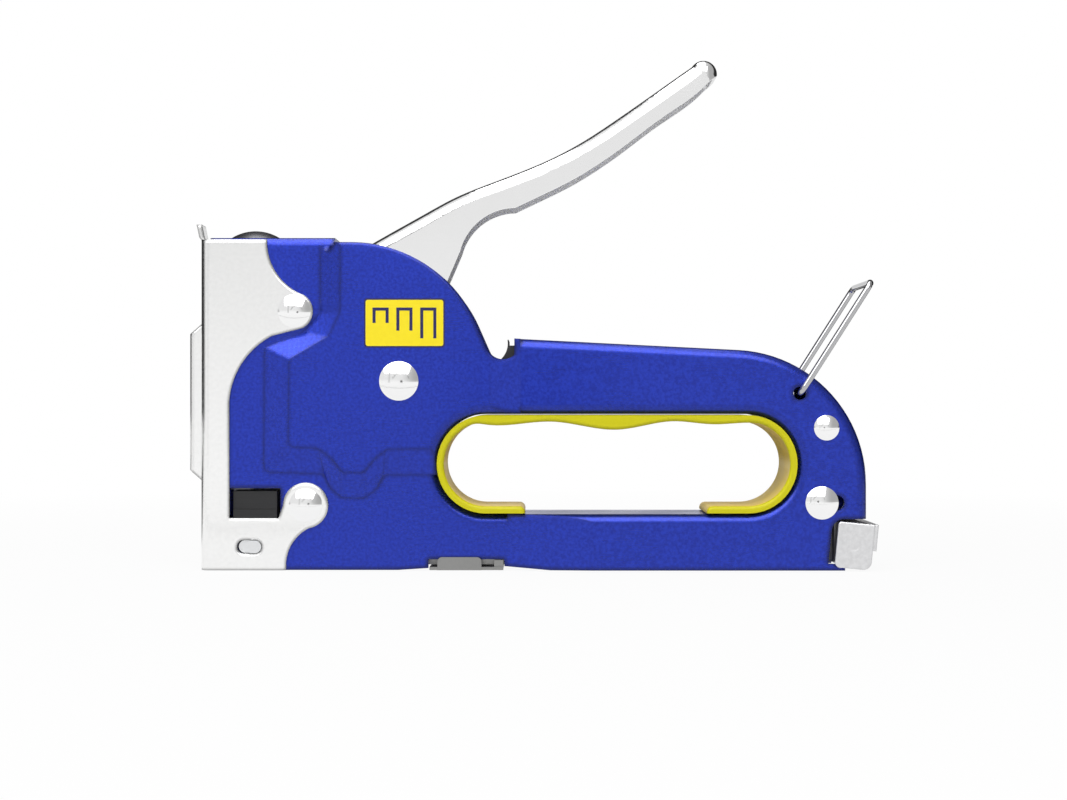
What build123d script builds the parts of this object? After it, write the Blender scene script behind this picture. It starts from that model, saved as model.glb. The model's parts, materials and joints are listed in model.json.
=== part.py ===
"""Hand staple gun: stamped shells, hand lever, spring-driven striker and sliding magazine.

X = 0 is the plane of the driver blade at the muzzle and +X runs to the rear. Y = 0 is the middle
plane and -Y the left side. Z = 0 is the base that is pressed on the work. Sizes are millimetres.
"""

from build123d import *

import math
import os

# Sheet thicknesses and clearances
SHEET = 1.2
PLATE = 1.0
THIN = 0.8
RUN = 0.3
SEAT = 0.05
FIT = 0.05

# Half widths of the stamped shells
LOW_HALF = 10.0
HEAD_HALF = 13.0
HANDLE_HALF = 12.0
LOW_INNER = LOW_HALF - SHEET
HEAD_INNER = HEAD_HALF - SHEET
HANDLE_INNER = HANDLE_HALF - SHEET

# Side view of the shells
SHELL_FRONT = 0.1
TOP_Z = 87.0
FLANGE_END = 32.7
HEAD_X = 37.4
HEAD_Z = 50.0
HEAD_R = 35.6
HEAD_END_ANGLE = 23.8
NOTCH_START = (72.9, 57.7)
NOTCH_LOW = (76.9, 55.1)
NOTCH_RISE = (79.8, 56.24)
HANDLE_FRONT_X = 79.8
HANDLE_FRONT_Z = 60.5
REAR_X = 136.7
REAR_Z = 22.5
REAR_R = 35.1
HANDLE_SLOPE = 2.85
REAR_END = REAR_X + REAR_R
CATCH_TOP_Z = 13.4
CATCH_BOTTOM_Z = 1.8
CATCH_CUT = 10.2
CATCH_FRONT_X = REAR_END - CATCH_CUT
LIP_LENGTH = 4.4
CLIP_FRONT_X = 57.3
CLIP_REAR_X = 77.2
CLIP_CUT_Z = 2.8
TOP_ROLL = 2.2
FLANGE_WEB = 5.0
FLANGE_DIMPLE_R = 1.6
HANDLE_ROLL = 2.4
HOLE_ROLL = 2.2

# Finger hole
HOLE_X = 106.6
HOLE_Z = 27.7
HOLE_LENGTH = 94.6
HOLE_HEIGHT = 26.2

# Relief: low level round the nose, raised head, slope of the neck and ramp of the lower bar
NECK_START = 73.5
NECK_END = 81.4
RAMP_START = 78.0
RAMP_END = 100.0
RELIEF_TOP = 100.0
CREST = [
    (34.5, RELIEF_TOP), (34.5, 67.5), (31.4, 61.0), (21.2, 55.0), (21.0, 32.3), (28.5, 31.9),
    (32.2, 29.3), (35.0, 25.6), (40.5, 25.5), (43.3, 28.9), (46.7, 31.7), (RELIEF_TOP, 31.9),
]
FOOT = [
    (29.0, RELIEF_TOP), (29.0, 67.5), (24.6, 62.3), (14.4, 58.2), (14.2, 25.6), (30.0, 25.1),
    (31.4, 21.6), (34.5, 18.9), (40.5, 18.7), (43.9, 21.2), (45.7, 24.8), (RELIEF_TOP, 25.1),
]
CREST_ROUND = 1.6
HEAD_EDGE = 0.8

# Rivets as (x, z, head radius, shaft radius)
PIVOT_X = 49.8
PIVOT_Z = 49.4
PIVOT_HEAD_R = 5.1
PIVOT_R = 3.0
NOSE_UPPER = (22.4, 67.7)
NOSE_LOWER = (25.3, 17.0)
NOSE_HEAD_R = 4.3
NOSE_RIVET_R = 2.5
NOSE_SPACER_R = 3.6
REAR_UPPER_IN = 6.6
REAR_UPPER_ANGLE = 31.1
REAR_LOWER_IN = 11.4
REAR_LOWER_ANGLE = -11.8
REAR_UPPER_HEAD_R = 3.3
REAR_LOWER_HEAD_R = 4.3
REAR_RIVET_R = 2.0
REAR_SPACER_R = 3.4
RIVET_RISE = 1.8
LOCATING_HOLE_AHEAD = 3.9
LOCATING_HOLE_R = 2.0

# Nose plate, its window for the bumper, slots for the magazine lugs, front rib and top tab
NOSE_FRONT = -2.2
NOSE_TOP = 86.4
NOSE_BEND = 2.2
NOSE_HALF = LOW_HALF + SEAT + PLATE
WING_EDGE = 5.4
WINDOW_REAR = 18.6
WINDOW_BOTTOM = 13.6
WINDOW_TOP = 21.4
LUG_X = 11.65
LUG_Z = 6.15
LUG_LENGTH = 4.2
LUG_HEIGHT = 3.3
LUG_STEP = 1.8
SLOT_LENGTH = 6.5
SLOT_HEIGHT = 3.6
SLOT_X = 10.6
RIB_FRONT = -6.1
RIB_HALF = 4.8
RIB_TOP = 65.2
RIB_BOTTOM = 22.6
RIB_SLANT = 3.4
TAB_HALF = 3.0
TAB_TOP = 91.0
TAB_LEAN = 2.4

# Driver blade, blade guide and striker
BLADE_T = 1.2
BLADE_HALF = 5.6
BLADE_TOP = 46.0
GUIDE_FRONT = 1.0
GUIDE_BOTTOM = 13.4
TENON_HALF = 2.4
TENON_BOTTOM = 27.0
TENON_TOP = 34.0
TENON_FRONT = -3.6
STRIKER_HALF = 6.4
STRIKER_REAR = 10.2
STRIKER_LIFT = 24.4
SEAT_Z = 38.9
HOOK_T = 3.0
HOOK_REAR = 20.0

# Main spring and tension screw
SCREW_X = 10.8
SCREW_R = 4.0
SCREW_HEAD_R = 7.2
SCREW_HEAD_H = 2.4
SCREW_TRAVEL = 2.5
SPRING_R = 5.4
SPRING_WIRE_R = 0.9
SPRING_TURNS = 6
CAP_BOTTOM = 76.8
CAP_T = 2.4
NUT_BOTTOM = 82.0
NUT_LENGTH = 14.0

# Lever, its short arm and bushing
LEVER_HALF = 8.5
LEVER_BEND = 3.2
BUSH_R = 4.6
EAR_R = 8.0
ARM_HALF = 3.0
ARM_TIP = (17.9, 32.7)
ARM_TIP_R = 2.2
ARM_ELBOW = (31.0, 34.0)
ARM_ELBOW_R = 4.2
ARM_PIN = (56.0, 70.0)
ARM_PIN_R = 1.6

# Magazine
CHANNEL_HALF = 6.7
CHANNEL_TOP = 13.0
CHANNEL_BOTTOM = 1.2
STAPLE_WIRE = 0.7
STAPLE_LEG = 10.0
STRIP_LENGTH = 45.0
RAIL_BOTTOM = 2.2
RAIL_FRONT = 1.4
ROD_R = 1.0
ROD_Z = 5.6
PUSHER_LENGTH = 14.0
PUSHER_SPRING_R = 2.2
PUSHER_WIRE_R = 0.35
PUSHER_SPRING_TURNS = 20
BLOCK_NECK = 11.4
BLOCK_WIDE = 7.2
BLOCK_WIDE_FRONT = CATCH_FRONT_X + 6 * RUN
BLOCK_FRONT = BLOCK_WIDE_FRONT - BLOCK_NECK
BLOCK_REAR = BLOCK_WIDE_FRONT + BLOCK_WIDE
BLOCK_HALF = 10.2
BLOCK_CHAMFER = 2.4
CHANNEL_REAR = BLOCK_FRONT - 2.0

# Rear catch
CATCH_SPRING_GAP = 1.1
CATCH_BACK = 1.4
CATCH_STRIP = 1.2
CATCH_REAR = BLOCK_REAR + CATCH_SPRING_GAP + CATCH_BACK + CATCH_STRIP
CATCH_SIDE = 1.1
CATCH_HALF = 13.4
CATCH_LOW = 0.6
CATCH_TILT = 5.5
CATCH_PIN_IN = 2.6
CATCH_PIN_X = BLOCK_REAR - CATCH_PIN_IN
CATCH_PIN_Z = 6.8
CATCH_PIN_R = 1.5

# Bumper, lever stop, magazine clip, grip insert and bail
STOP_PROUD = 1.8
STOP_LENGTH = 6.0
STOP_HEIGHT = 8.0
BUMPER_FRONT = 6.2
BUMPER_REAR = 17.6
BUMPER_TOP = 20.6
BUMPER_STEP_Z = 15.8
BUMPER_HALF = 9.6
CLIP_TAB_FRONT = 59.7
CLIP_TAB_REAR = 71.2
CLIP_TAB_TOP = 3.4
GRIP_T = 1.85
GRIP_HALF = 12.0
GRIP_LIP = 0.9
GRIP_LEFT_END = HOLE_X - 24.0
GRIP_RIGHT_END = HOLE_X + 23.4
GRIP_WAVE = [(-34.0, 2.5), (-17.0, 1.7), (0.0, 3.8), (14.5, 1.6), (25.5, 2.4)]
BAIL_IN = 5.6
BAIL_PLACE_ANGLE = 53.6
BAIL_ANGLE = 57.5
BAIL_LENGTH = 34.1
BAIL_WIRE_R = 0.85
BAIL_HALF = 13.6
BAIL_HOLE_R = 1.7
BAIL_BEND = 2.0


def polar(x, z, radius, angle):
    """Point of a circle in the side view, with its angle in degrees."""
    turn = math.radians(angle)
    return (x + radius * math.cos(turn), z + radius * math.sin(turn))


BAIL_X, BAIL_Z = polar(REAR_X, REAR_Z, REAR_R - BAIL_IN, BAIL_PLACE_ANGLE)
REAR_UPPER = polar(REAR_X, REAR_Z, REAR_R - REAR_UPPER_IN, REAR_UPPER_ANGLE)
REAR_LOWER = polar(REAR_X, REAR_Z, REAR_R - REAR_LOWER_IN, REAR_LOWER_ANGLE)
LOCATING_HOLE = (REAR_LOWER[0] + LOCATING_HOLE_AHEAD, REAR_LOWER[1])


def closed_face(start, *steps):
    """Side-view face bounded by runs to each point, or by arcs given as (through, end)."""
    edges = []
    here = start
    for step in (*steps, start):
        if isinstance(step[0], tuple):
            edges.append(ThreePointArc(here, step[0], step[1]))
            here = step[1]
        else:
            edges.append(Line(here, step))
            here = step
    return make_face(edges)


def slab(face, near, far):
    """Solid of a side-view face, between two distances to the left of the middle plane."""
    return extrude(Plane.XZ.offset(near) * face, far - near)


def across(face, half):
    """Solid of a side-view face that reaches equally far to both sides."""
    return slab(face, -half, half)


def finger_hole(grow):
    return Pos(HOLE_X, HOLE_Z) * SlotOverall(HOLE_LENGTH + 2 * grow, HOLE_HEIGHT + 2 * grow)


def shell_outline():
    """Side view of a shell, with the cut-outs for the rear catch and the magazine clip."""
    head_top = HEAD_Z + HEAD_R
    head_end = polar(HEAD_X, HEAD_Z, HEAD_R, HEAD_END_ANGLE)
    handle_end = polar(REAR_X, REAR_Z, REAR_R, 90 - HANDLE_SLOPE)
    rear_end = (REAR_END, REAR_Z)
    return closed_face(
        (SHELL_FRONT, 0),
        (SHELL_FRONT, TOP_Z),
        (FLANGE_END, TOP_Z),
        (FLANGE_END, head_top),
        (HEAD_X, head_top),
        (polar(HEAD_X, HEAD_Z, HEAD_R, 57), head_end),
        NOTCH_START,
        (NOTCH_LOW, NOTCH_RISE),
        (HANDLE_FRONT_X, HANDLE_FRONT_Z),
        handle_end,
        (polar(REAR_X, REAR_Z, REAR_R, 45), rear_end),
        (rear_end[0], CATCH_TOP_Z),
        (CATCH_FRONT_X + 4.0, CATCH_TOP_Z),
        ((CATCH_FRONT_X + 2.0, CATCH_TOP_Z - 0.8), (CATCH_FRONT_X + 1.0, CATCH_TOP_Z - 2.6)),
        (CATCH_FRONT_X, CATCH_BOTTOM_Z),
        (CATCH_FRONT_X + LIP_LENGTH, CATCH_BOTTOM_Z - 0.3),
        (CATCH_FRONT_X + LIP_LENGTH, 0),
        (CLIP_REAR_X + 12.0, 0),
        (CLIP_REAR_X, 1.0),
        (CLIP_REAR_X, CLIP_CUT_Z),
        (CLIP_FRONT_X, CLIP_CUT_Z),
        (CLIP_FRONT_X, 0.5),
        (CLIP_FRONT_X - 8.0, 0),
    )


def cavity_outline():
    """Side view of the hollow: open at the nose, base, rear end and lever slot."""
    inner_r = REAR_R - SHEET
    handle_end = polar(REAR_X, REAR_Z, inner_r, 90 - HANDLE_SLOPE)
    rear_end = (REAR_X + inner_r, REAR_Z)
    slot_rear = HANDLE_FRONT_X + SHEET
    slope = math.tan(math.radians(HANDLE_SLOPE))
    slot_rear_z = handle_end[1] + (handle_end[0] - slot_rear) * slope
    return closed_face(
        (SHELL_FRONT - 5, -5),
        (SHELL_FRONT - 5, TOP_Z - SHEET),
        (FLANGE_END + SHEET, TOP_Z - SHEET),
        (FLANGE_END + SHEET, TOP_Z + 5),
        (slot_rear - 2 * SHEET, TOP_Z + 5),
        (slot_rear - 2 * SHEET, slot_rear_z),
        (slot_rear, slot_rear_z),
        handle_end,
        (polar(REAR_X, REAR_Z, inner_r, 45), rear_end),
        (rear_end[0], CATCH_TOP_Z),
        (rear_end[0] + 10, CATCH_TOP_Z),
        (rear_end[0] + 10, -5),
    )


def relief_face(points):
    face = make_face(Polyline(*points, (RELIEF_TOP, RELIEF_TOP), close=True))
    corners = [v for v in face.vertices() if max(v.X, v.Y) < RELIEF_TOP - 1]
    return fillet(corners, CREST_ROUND)


def relief_head(depth):
    """Raised head between its foot and crest lines, sloping down to the handle at the neck."""
    foot = Plane.XZ.offset(LOW_HALF - depth) * relief_face(FOOT)
    crest = Plane.XZ.offset(HEAD_HALF - depth) * relief_face(CREST)
    head = loft([foot, crest], ruled=True)
    neck = make_face(
        Polyline(
            (NECK_START, depth - HEAD_HALF), (NECK_END, depth - HANDLE_HALF),
            (NECK_END, -HEAD_HALF - 5), (NECK_START, -HEAD_HALF - 5), close=True,
        )
    )
    behind = Pos(NECK_END + 50, 0, 0) * Box(100, 100, 400)
    return head - extrude(neck, RELIEF_TOP) - behind


def outer_slab(half, is_rolled, roll):
    """Slab of the whole side view whose outer face has rolled edges, as on stamped sheet."""
    body = slab(shell_outline() - finger_hole(0), SEAT, half)
    face = body.faces().sort_by(Axis.Y)[0]
    body = fillet([e for e in face.outer_wire().edges() if is_rolled(e.center())], roll)
    rim = body.faces().sort_by(Axis.Y)[0].inner_wires()[0].edges()
    return fillet(rim, HOLE_ROLL)


def on_handle(point):
    return point.X > HANDLE_FRONT_X + 5 and (point.Z > HOLE_Z or point.X > REAR_END - 1)


def on_head(point):
    return FLANGE_END < point.X < HANDLE_FRONT_X and point.Z > NOTCH_LOW[1] - 1


def handle_part(body, depth):
    """Part of a slab behind the neck; its lower bar ramps down to the low level."""
    ramp = make_face(
        Polyline(
            (RAMP_START, depth - LOW_HALF), (RAMP_END, depth - HANDLE_HALF),
            (RAMP_END, -HEAD_HALF), (RAMP_START, -HEAD_HALF), close=True,
        )
    )
    ahead = Pos(RAMP_START - 100, 0, 0) * Box(200, 100, 400)
    return body - Pos(0, 0, -10) * extrude(ramp, HOLE_Z + 10) - ahead


def rod_y(centre, radius, near, far):
    """Round bar or hole across the tool, between two distances left of the middle plane."""
    return slab(Pos(*centre) * Circle(radius), near, far)


def lug_slot():
    """Side view of the slot that a lug of the channel sits in."""
    return Pos(SLOT_X, LUG_Z) * SlotOverall(SLOT_LENGTH, SLOT_HEIGHT)


def top_roll():
    """What the rolled edge of the top flange leaves free of the square corner."""
    near = LOW_HALF - TOP_ROLL
    low = TOP_Z - TOP_ROLL
    length = FLANGE_END + 10
    corner = Pos(FLANGE_END - length / 2, -near - 5, low + 5) * Box(length, 10, 10)
    roll = Plane.YZ.offset(FLANGE_END - length) * (Pos(-near, low) * Circle(TOP_ROLL))
    return corner - extrude(roll, length)


def flange_web():
    """Sheet left whole where the top flange ends against the raised head."""
    height = TOP_ROLL + SHEET
    rear = FLANGE_END + SHEET
    face = Pos(rear - FLANGE_WEB / 2, TOP_Z - height / 2) * Rectangle(FLANGE_WEB, height)
    return slab(face, LOW_INNER, HEAD_HALF)


def flange_dimple():
    """Rounded mark of the forming tool in the slope of the head, at the end of the roll."""
    x = FLANGE_END - 1.3 * FLANGE_DIMPLE_R
    return Pos(x, -LOW_HALF - FLANGE_DIMPLE_R, TOP_Z - TOP_ROLL) * Sphere(FLANGE_DIMPLE_R)


def shell_holes():
    """Rivet, bail and lug holes, bumper window and locating hole of one shell."""
    reach = HEAD_HALF + 1
    holes = [
        rod_y((PIVOT_X, PIVOT_Z), PIVOT_R + FIT, 0, reach),
        rod_y(NOSE_UPPER, NOSE_RIVET_R + FIT, 0, reach),
        rod_y(NOSE_LOWER, NOSE_RIVET_R + FIT, 0, reach),
        rod_y(REAR_UPPER, REAR_RIVET_R + FIT, 0, reach),
        rod_y(REAR_LOWER, REAR_RIVET_R + FIT, 0, reach),
        rod_y(LOCATING_HOLE, LOCATING_HOLE_R, 0, reach),
        rod_y((BAIL_X, BAIL_Z), BAIL_HOLE_R, 0, reach),
        slab(lug_slot(), 0, reach),
    ]
    window_low = WINDOW_BOTTOM - PLATE
    window = Pos((WING_EDGE - 2 + WINDOW_REAR) / 2, (window_low + WINDOW_TOP) / 2) * Rectangle(
        WINDOW_REAR - WING_EDGE + 2, WINDOW_TOP - window_low
    )
    screw = Pos(SCREW_X, 0, TOP_Z) * Cylinder(SCREW_R + RUN, 10)
    return holes + [slab(window, 0, reach), screw]


def left_shell():
    """Stamped shell: outer faces less a hollow that follows them one sheet thickness inside."""
    foot = relief_face(FOOT)
    low = outer_slab(LOW_HALF, on_handle, HANDLE_ROLL)
    head = (relief_head(0) + slab(foot, SEAT, LOW_HALF)) & outer_slab(HEAD_HALF, on_head, HEAD_EDGE)
    handle = handle_part(outer_slab(HANDLE_HALF, on_handle, HANDLE_ROLL), 0)
    outer = low + head + handle - top_roll() - flange_dimple()

    hollow = cavity_outline() - finger_hole(SHEET)
    inner_low = slab(hollow, -1, LOW_INNER)
    inner_head = (relief_head(SHEET) + slab(foot, -1, LOW_INNER)) & slab(hollow, -1, HEAD_INNER)
    inner = inner_low + inner_head + handle_part(slab(hollow, -1, HANDLE_INNER), SHEET)
    shell = outer - (inner - flange_web())
    for hole in shell_holes():
        shell -= hole
    return shell


def mirrored(shape):
    return mirror(shape, Plane.XZ)


def write(name, *solids):
    shape = solids[0] if len(solids) == 1 else Compound(children=list(solids))
    export_step(shape, f"parts/{name}.step")


def dome(centre, radius, seat):
    """Low domed rivet head that stands on a face the given distance from the middle plane."""
    rim = RIVET_RISE * 0.3
    ball = (radius**2 + (RIVET_RISE - rim) ** 2) / (2 * (RIVET_RISE - rim))
    crown = Pos(centre[0], -(seat + RIVET_RISE - ball), centre[1]) * Sphere(ball)
    return crown & rod_y(centre, radius, seat, seat + RIVET_RISE)


def rivet(centre, head_r, shaft_r, seat):
    """Rivet right through the tool, with a domed head on each side."""
    head = dome(centre, head_r, seat)
    return rod_y(centre, shaft_r, -seat, seat) + head + mirrored(head)


def spacer(centre, radius, bore, inner):
    """Tube that keeps the two shells apart on a rivet."""
    half = inner - SEAT
    return rod_y(centre, radius, -half, half) - rod_y(centre, bore + FIT, -half, half)


def wing_outline():
    """Side view of the nose plate: upper and lower lobes round the rivets, window between."""
    upper_x, upper_z = NOSE_UPPER
    lower_x, lower_z = NOSE_LOWER
    front = NOSE_FRONT - 5
    return closed_face(
        (front, 0),
        (front, NOSE_TOP),
        (15.2, NOSE_TOP),
        (15.3, 84.4),
        ((18.4, 76.6), (upper_x + 2.6, upper_z + 4.1)),
        ((upper_x + 4.8, upper_z - 0.2), (upper_x + 2.0, upper_z - 4.5)),
        (16.5, 61.2),
        ((8.9, 54.4), (WING_EDGE, 44.5)),
        (WING_EDGE, WINDOW_BOTTOM),
        (WINDOW_REAR - 0.4, WINDOW_BOTTOM),
        (lower_x - 5.9, lower_z),
        ((lower_x, lower_z + 5.9), (lower_x + 5.9, lower_z)),
        ((lower_x + 4.7, lower_z - 3.7), (lower_x + 0.9, lower_z - 6.0)),
        ((22.2, 7.6), (20.2, 1.0)),
        (20.1, 0),
    )


def rib_outline(inset):
    front = RIB_FRONT + inset
    root = NOSE_FRONT + inset
    return closed_face(
        (root + PLATE, RIB_BOTTOM + inset),
        (root, RIB_BOTTOM + inset),
        (front, RIB_BOTTOM + RIB_SLANT + inset),
        (front, RIB_TOP - RIB_SLANT - inset),
        (root, RIB_TOP - inset),
        (root + PLATE, RIB_TOP - inset),
    )


def rounded_channel(front, half, length, bend):
    """Block in front of the shells with its two upright front edges bent round."""
    block = Pos(front + length / 2, 0, NOSE_TOP / 2) * Box(length, 2 * half, NOSE_TOP)
    edges = block.edges().filter_by(Axis.Z).group_by(Axis.X)[0]
    return fillet(edges, bend)


def nose_plate():
    """Sheet wrapped round the nose, with an embossed rib in front and a tab on top."""
    length = 60
    outer = rounded_channel(NOSE_FRONT, NOSE_HALF, length, NOSE_BEND)
    inner = rounded_channel(NOSE_FRONT + PLATE, NOSE_HALF - PLATE, length, NOSE_BEND - PLATE)
    plate = (outer - inner) & across(wing_outline(), NOSE_HALF + 1)
    rib = across(rib_outline(0), RIB_HALF)
    rib = fillet(rib.edges().filter_by(Axis.Z).group_by(Axis.X)[0], PLATE)
    plate = plate + rib - across(rib_outline(PLATE), RIB_HALF - PLATE)
    tab = closed_face(
        (NOSE_FRONT, NOSE_TOP - PLATE),
        (NOSE_FRONT - TAB_LEAN * 0.7, NOSE_TOP + 1.2),
        (NOSE_FRONT - TAB_LEAN, TAB_TOP),
        (NOSE_FRONT - TAB_LEAN + 1.4, TAB_TOP),
        (NOSE_FRONT - TAB_LEAN * 0.7 + 1.4, NOSE_TOP + 1.0),
        (NOSE_FRONT + PLATE, NOSE_TOP - 0.2),
        (NOSE_FRONT + PLATE, NOSE_TOP - PLATE),
    )
    plate += across(tab, TAB_HALF)
    plate -= across(lug_slot(), NOSE_HALF + 1)
    for centre in (NOSE_UPPER, NOSE_LOWER):
        plate -= rod_y(centre, NOSE_RIVET_R + FIT, -NOSE_HALF - 1, NOSE_HALF + 1)
    return plate


def blade_guide():
    """Folded liner behind the blade, slotted for the tenon of the striker."""
    height = TOP_Z - SHEET - SEAT - GUIDE_BOTTOM
    wall = BLADE_HALF + RUN + PLATE
    front = NOSE_FRONT + PLATE + SEAT
    depth = GUIDE_FRONT + PLATE - front
    middle = GUIDE_BOTTOM + height / 2
    guide = Pos(front + depth / 2, 0, middle) * Box(depth, 2 * wall, height)
    path = GUIDE_FRONT - front
    guide -= Pos(front + path / 2, 0, middle) * Box(path, 2 * (wall - PLATE), height)
    low = TENON_BOTTOM - 1
    high = TENON_TOP + STRIKER_LIFT + 1
    slot = Box(3 * PLATE, 2 * (TENON_HALF + RUN), high - low)
    return guide - Pos(GUIDE_FRONT + PLATE / 2, 0, (low + high) / 2) * slot


def driver_blade():
    """Flat blade with a window for the tenon that carries it."""
    blade = Pos(0, 0, (BLADE_TOP + RUN) / 2) * Box(BLADE_T, 2 * BLADE_HALF, BLADE_TOP - RUN)
    height = TENON_TOP - TENON_BOTTOM + 2 * SEAT
    window = Box(2 * BLADE_T, 2 * (TENON_HALF + SEAT), height)
    return blade - Pos(0, 0, (TENON_TOP + TENON_BOTTOM) / 2) * window


def striker():
    """Hammer block: front column, spring seat that the lever's arm hooks under, and tenon."""
    front = GUIDE_FRONT + PLATE + RUN
    foot = BUMPER_TOP + RUN
    side = closed_face(
        (front, foot),
        (front, SEAT_Z),
        (HOOK_REAR - 2.5, SEAT_Z),
        (HOOK_REAR, SEAT_Z - 1.0),
        (HOOK_REAR, SEAT_Z - HOOK_T),
        (STRIKER_REAR, SEAT_Z - HOOK_T),
        (STRIKER_REAR, foot),
    )
    block = across(side, STRIKER_HALF)
    block = fillet(block.edges().filter_by(Axis.Z).group_by(Axis.X)[0], 1.0)
    tenon = closed_face(
        (TENON_FRONT, TENON_BOTTOM),
        (TENON_FRONT, TENON_TOP),
        (front + 1, TENON_TOP),
        (front + 1, TENON_BOTTOM),
    )
    boss_r = SPRING_R - SPRING_WIRE_R - RUN
    boss = Pos(SCREW_X, 0, SEAT_Z + 1.5) * Cylinder(boss_r, 3)
    return block + across(tenon, TENON_HALF) + boss


def coil(radius, wire_r, turns, length):
    """Round-wire spring along +Z from the origin, outer ends flush with its length."""
    run = length - 2 * wire_r
    path = Helix(pitch=run / turns, height=run, radius=radius)
    profile = Plane(origin=path @ 0, z_dir=path % 0) * Circle(wire_r)
    return Pos(0, 0, wire_r) * sweep(profile, path=path)


def main_spring():
    bottom = SEAT_Z + SEAT
    length = CAP_BOTTOM - SEAT - bottom
    return Pos(SCREW_X, 0, bottom) * coil(SPRING_R, SPRING_WIRE_R, SPRING_TURNS, length)


def spring_cap():
    """Upper seat of the main spring, pushed down by the tip of the tension screw."""
    plate = Pos(SCREW_X, 0, CAP_BOTTOM + CAP_T / 2) * Cylinder(SPRING_R + SPRING_WIRE_R, CAP_T)
    pilot = Pos(SCREW_X, 0, CAP_BOTTOM - 1) * Cylinder(SPRING_R - SPRING_WIRE_R - RUN, 2)
    return plate + pilot


def tension_nut():
    """Square nut held under the top flanges."""
    top = TOP_Z - SHEET - SEAT
    half = LOW_INNER - RUN
    nut = Pos(SCREW_X, 0, (NUT_BOTTOM + top) / 2) * Box(NUT_LENGTH, 2 * half, top - NUT_BOTTOM)
    return nut - Pos(SCREW_X, 0, NUT_BOTTOM) * Cylinder(SCREW_R + FIT, TOP_Z)


def tension_screw():
    """Screw with a low domed head above the top flanges."""
    tip = CAP_BOTTOM + CAP_T + SEAT
    shank = Pos(SCREW_X, 0, (tip + TOP_Z) / 2 + SEAT) * Cylinder(SCREW_R, TOP_Z - tip)
    ball = (SCREW_HEAD_R**2 + SCREW_HEAD_H**2) / (2 * SCREW_HEAD_H)
    base = TOP_Z + SEAT
    crown = Pos(SCREW_X, 0, base + SCREW_HEAD_H - ball) * Sphere(ball)
    head = crown & Pos(SCREW_X, 0, base + 5) * Cylinder(SCREW_HEAD_R + 1, 10)
    slot = Pos(SCREW_X, 0, base + SCREW_HEAD_H) * Box(2 * SCREW_HEAD_R, 1.4, 2.0)
    return shank + head - slot


LEVER_TOP = [
    (38.2, 83.4), (47.7, 88.8), (56.1, 93.5), (64.5, 98.0), (72.9, 101.4), (81.3, 104.6),
    (89.7, 108.2), (98.0, 112.7), (106.4, 118.2), (114.9, 124.1), (126.6, 132.3),
]
LEVER_UNDER = [
    (130.6, 127.8), (126.1, 123.8), (119.8, 119.5), (114.1, 115.4), (108.5, 111.1),
    (102.5, 106.9), (95.7, 102.7), (87.8, 98.7), (80.0, 95.0),
]
LEVER_TIP = ((131.6, 133.4), (133.2, 129.9))
LEVER_HEEL = ((70.6, 91.6), (65.5, 83.6))
LEVER_CHEEK = (62.1, 75.7)
LEVER_FRONT = (37.6, 79.0)


def lever_outline():
    """Side view of the lever: bowed hand lever, cheeks and the ears round the pivot."""
    ear_front = polar(PIVOT_X, PIVOT_Z, EAR_R, 165)
    ear_rear = polar(PIVOT_X, PIVOT_Z, EAR_R, 10)
    edges = [
        Spline(*LEVER_TOP),
        ThreePointArc(LEVER_TOP[-1], LEVER_TIP[0], LEVER_TIP[1]),
        Line(LEVER_TIP[1], LEVER_UNDER[0]),
        Spline(*LEVER_UNDER),
        ThreePointArc(LEVER_UNDER[-1], LEVER_HEEL[0], LEVER_HEEL[1]),
        Line(LEVER_HEEL[1], LEVER_CHEEK),
        Line(LEVER_CHEEK, ear_rear),
        ThreePointArc(ear_rear, polar(PIVOT_X, PIVOT_Z, EAR_R, 270), ear_front),
        Line(ear_front, LEVER_FRONT),
        Line(LEVER_FRONT, LEVER_TOP[0]),
    ]
    return make_face(edges)


def inset_line(points, distance):
    """Points moved to the right of the way they run, along the local normal."""
    moved = []
    for i, (x, z) in enumerate(points):
        ahead = points[min(i + 1, len(points) - 1)]
        behind = points[max(i - 1, 0)]
        run = math.hypot(ahead[0] - behind[0], ahead[1] - behind[1])
        normal = ((ahead[1] - behind[1]) / run, -(ahead[0] - behind[0]) / run)
        moved.append((x + distance * normal[0], z + distance * normal[1]))
    return moved


def lever_hollow():
    """Side view of the space under the lever's back, open below and in front."""
    line = inset_line(LEVER_TOP, SHEET)
    ahead = (line[0][0] - 20, line[0][1] - 11)
    middle = (LEVER_TIP[0][0] - 0.7 * SHEET, LEVER_TIP[0][1] - SHEET)
    end = (LEVER_TIP[1][0] - SHEET, LEVER_TIP[1][1])
    edges = [
        Line(ahead, line[0]),
        Spline(*line),
        ThreePointArc(line[-1], middle, end),
        Line(end, (end[0], 0)),
        Line((end[0], 0), (ahead[0], 0)),
        Line((ahead[0], 0), ahead),
    ]
    return make_face(edges)


def round_back(body, bend):
    """Roll the two long edges of the back, and those round its tip."""
    edges = [e for e in body.edges() if abs(e.center().Y) > 1]
    back = [e for e in edges if e.geom_type == GeomType.BSPLINE and e.center().Z > LEVER_UNDER[3][1] - 12]
    back = [e for e in back if e.length > LEVER_TOP[-1][0] - LEVER_TOP[0][0]]
    tip = [e for e in edges if e.geom_type == GeomType.CIRCLE and e.center().Z > LEVER_UNDER[1][1]]
    return fillet(back + tip, bend)


def lever():
    """Sheet channel with a rounded back, open underneath and at the front."""
    outer = round_back(across(lever_outline(), LEVER_HALF), LEVER_BEND)
    inner = round_back(across(lever_hollow(), LEVER_HALF - SHEET), LEVER_BEND - SHEET)
    body = outer - inner
    reach = LEVER_HALF + 1
    body -= rod_y((PIVOT_X, PIVOT_Z), BUSH_R + FIT, -reach, reach)
    return body - rod_y(ARM_PIN, ARM_PIN_R + FIT, -reach, reach)


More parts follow.
